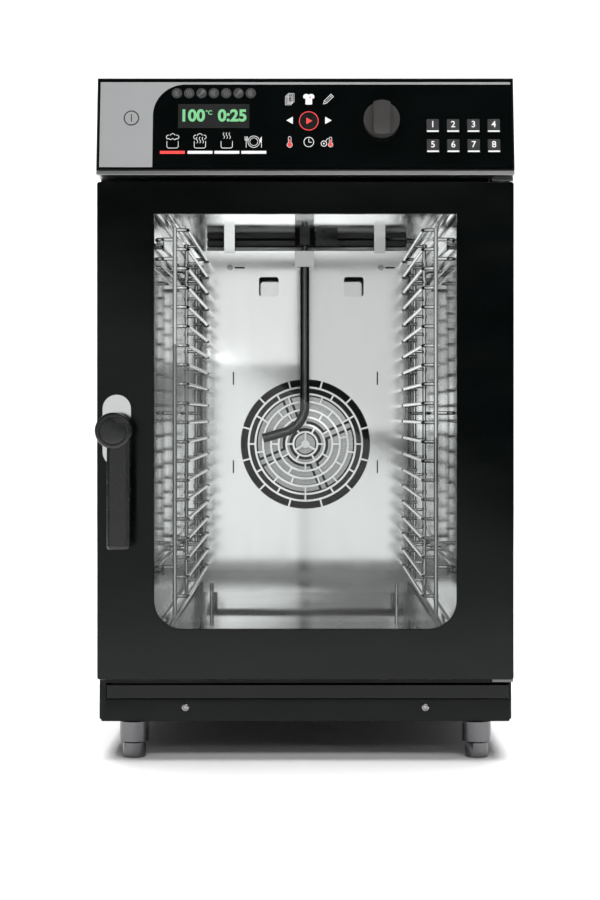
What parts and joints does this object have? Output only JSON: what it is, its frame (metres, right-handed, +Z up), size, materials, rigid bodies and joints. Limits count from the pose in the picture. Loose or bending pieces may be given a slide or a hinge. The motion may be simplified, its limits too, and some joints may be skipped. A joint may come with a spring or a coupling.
{
  "type": "combi steamer oven",
  "caption": "Tabletop combi steamer oven with a right-hung glazed door, turning handle, tilted key panel with a knob, wire tray racks and a rear fan.",
  "frame": {"origin": "on the floor under the middle of the whole bounding box", "axes": "+X to the right as seen from the front, +Y from the door to the back, +Z up"},
  "size_m": [0.515, 0.834, 0.857],
  "materials": {
    "black_enamel": "satin black powder coat",
    "gloss_black": "glossy black printed glass",
    "casing_steel": "fine brushed",
    "mirror_steel": "polished",
    "brushed_silver": "brushed light grey",
    "steel_wire": "electropolished",
    "dark_steel": "dark polished",
    "foot_steel": "turned",
    "seal_rubber": "matt",
    "clear_glass": "clear",
    "display_glass": "dark smoked",
    "black_plastic": "satin moulded",
    "knob_plastic": "satin moulded",
    "board": "solder mask",
    "mineral_wool": "fibrous",
    "motor_iron": "painted",
    "pipe_steel": "drawn",
    "brass_fitting": "machined"
  },
  "bodies": {
    "cabinet": {"base_pan": "black_enamel", "front_rim": "black_enamel", "drip_tray": "gloss_black", "side_panel_left": "black_enamel", "side_panel_right": "black_enamel", "top_cover": "casing_steel", "rear_panel": "casing_steel", "front_frame": "casing_steel", "cavity_liner": "mirror_steel", "insulation": "mineral_wool", "door_seal": "seal_rubber", "control_housing": "black_enamel", "trim_strip": "casing_steel", "fascia": "gloss_black", "fascia_inlay": "brushed_silver", "display_windows": "display_glass", "control_board": "board", "hinge_brackets": "steel_wire", "hinge_pins": "mirror_steel", "strike": "steel_wire", "fan_baffle": "mirror_steel", "cavity_fittings": "steel_wire", "fan_motor": "motor_iron", "heating_element": "dark_steel", "injection_pipe": "dark_steel", "pipe_fittings": "steel_wire", "drain_pipe": "pipe_steel", "exhaust_pipe": "pipe_steel", "water_inlet": "brass_fitting", "cable_gland": "black_plastic", "foot_sleeves": "foot_steel", "casing_screws": "steel_wire"},
    "door": {"door_front": "gloss_black", "outer_pane": "clear_glass", "door_shell": "black_enamel", "inner_pane": "clear_glass", "pane_clips": "steel_wire", "hinge_bushes": "brass_fitting", "rosette": "mirror_steel"},
    "handle": {"handle_lever": "black_plastic", "latch_spindle": "steel_wire"},
    "knob": {"knob": "knob_plastic"},
    "power_button": {"power_button": "brushed_silver"},
    "start_button": {"start_button": "black_plastic"},
    "fan": {"fan_wheel": "dark_steel", "fan_shaft": "steel_wire"},
    "rack_left": {"rack_left": "steel_wire"},
    "rack_right": {"rack_right": "steel_wire"},
    "key_1": {"key_1": "knob_plastic"},
    "key_2": {"key_2": "knob_plastic"},
    "key_3": {"key_3": "knob_plastic"},
    "key_4": {"key_4": "knob_plastic"},
    "key_5": {"key_5": "knob_plastic"},
    "key_6": {"key_6": "knob_plastic"},
    "key_7": {"key_7": "knob_plastic"},
    "key_8": {"key_8": "knob_plastic"},
    "foot_1": {"foot_1": "foot_steel"},
    "foot_2": {"foot_2": "foot_steel"},
    "foot_3": {"foot_3": "foot_steel"},
    "foot_4": {"foot_4": "foot_steel"}
  },
  "joints": [
    {"name": "door_hinge", "type": "hinge", "parent": "cabinet", "child": "door", "pos_m": [0.2425, -0.34, 0.41], "axis": [0, 0, 1], "range_deg": [0, 125]},
    {"name": "handle_turn", "type": "hinge", "parent": "door", "child": "handle", "pos_m": [-0.2328, -0.36, 0.41], "axis": [0, -1, 0], "range_deg": [0, 88]},
    {"name": "knob_turn", "type": "hinge", "parent": "cabinet", "child": "knob", "pos_m": [0.094, -0.35982, 0.792], "axis": [0, 0.9841, -0.1774], "continuous": true},
    {"name": "fan_spin", "type": "hinge", "parent": "cabinet", "child": "fan", "pos_m": [0, 0.28, 0.3847], "axis": [0, 1, 0], "continuous": true},
    {"name": "rack_left_lift", "type": "slide", "parent": "cabinet", "child": "rack_left", "axis": [0, 0, 1], "range_m": [0, 0.01]},
    {"name": "rack_right_lift", "type": "slide", "parent": "cabinet", "child": "rack_right", "axis": [0, 0, 1], "range_m": [0, 0.01]},
    {"name": "key_1_press", "type": "slide", "parent": "cabinet", "child": "key_1", "axis": [0, 0.9841, -0.1774], "range_m": [0, 0.0008], "stiffness_N_per_m": 800, "springref_m": -0.0005},
    {"name": "key_2_press", "type": "slide", "parent": "cabinet", "child": "key_2", "axis": [0, 0.9841, -0.1774], "range_m": [0, 0.0008], "stiffness_N_per_m": 800, "springref_m": -0.0005},
    {"name": "key_3_press", "type": "slide", "parent": "cabinet", "child": "key_3", "axis": [0, 0.9841, -0.1774], "range_m": [0, 0.0008], "stiffness_N_per_m": 800, "springref_m": -0.0005},
    {"name": "key_4_press", "type": "slide", "parent": "cabinet", "child": "key_4", "axis": [0, 0.9841, -0.1774], "range_m": [0, 0.0008], "stiffness_N_per_m": 800, "springref_m": -0.0005},
    {"name": "key_5_press", "type": "slide", "parent": "cabinet", "child": "key_5", "axis": [0, 0.9841, -0.1774], "range_m": [0, 0.0008], "stiffness_N_per_m": 800, "springref_m": -0.0005},
    {"name": "key_6_press", "type": "slide", "parent": "cabinet", "child": "key_6", "axis": [0, 0.9841, -0.1774], "range_m": [0, 0.0008], "stiffness_N_per_m": 800, "springref_m": -0.0005},
    {"name": "key_7_press", "type": "slide", "parent": "cabinet", "child": "key_7", "axis": [0, 0.9841, -0.1774], "range_m": [0, 0.0008], "stiffness_N_per_m": 800, "springref_m": -0.0005},
    {"name": "key_8_press", "type": "slide", "parent": "cabinet", "child": "key_8", "axis": [0, 0.9841, -0.1774], "range_m": [0, 0.0008], "stiffness_N_per_m": 800, "springref_m": -0.0005},
    {"name": "power_button_press", "type": "slide", "parent": "cabinet", "child": "power_button", "axis": [0, 0.9841, -0.1774], "range_m": [0, 0.0006], "stiffness_N_per_m": 800, "springref_m": -0.0005},
    {"name": "start_button_press", "type": "slide", "parent": "cabinet", "child": "start_button", "axis": [0, 0.9841, -0.1774], "range_m": [0, 0.0006], "stiffness_N_per_m": 800, "springref_m": -0.0005},
    {"name": "foot_1_screw", "type": "slide", "parent": "cabinet", "child": "foot_1", "axis": [0, 0, -1], "range_m": [0, 0.015]},
    {"name": "foot_2_screw", "type": "slide", "parent": "cabinet", "child": "foot_2", "axis": [0, 0, -1], "range_m": [0, 0.015]},
    {"name": "foot_3_screw", "type": "slide", "parent": "cabinet", "child": "foot_3", "axis": [0, 0, -1], "range_m": [0, 0.015]},
    {"name": "foot_4_screw", "type": "slide", "parent": "cabinet", "child": "foot_4", "axis": [0, 0, -1], "range_m": [0, 0.015]}
  ]
}
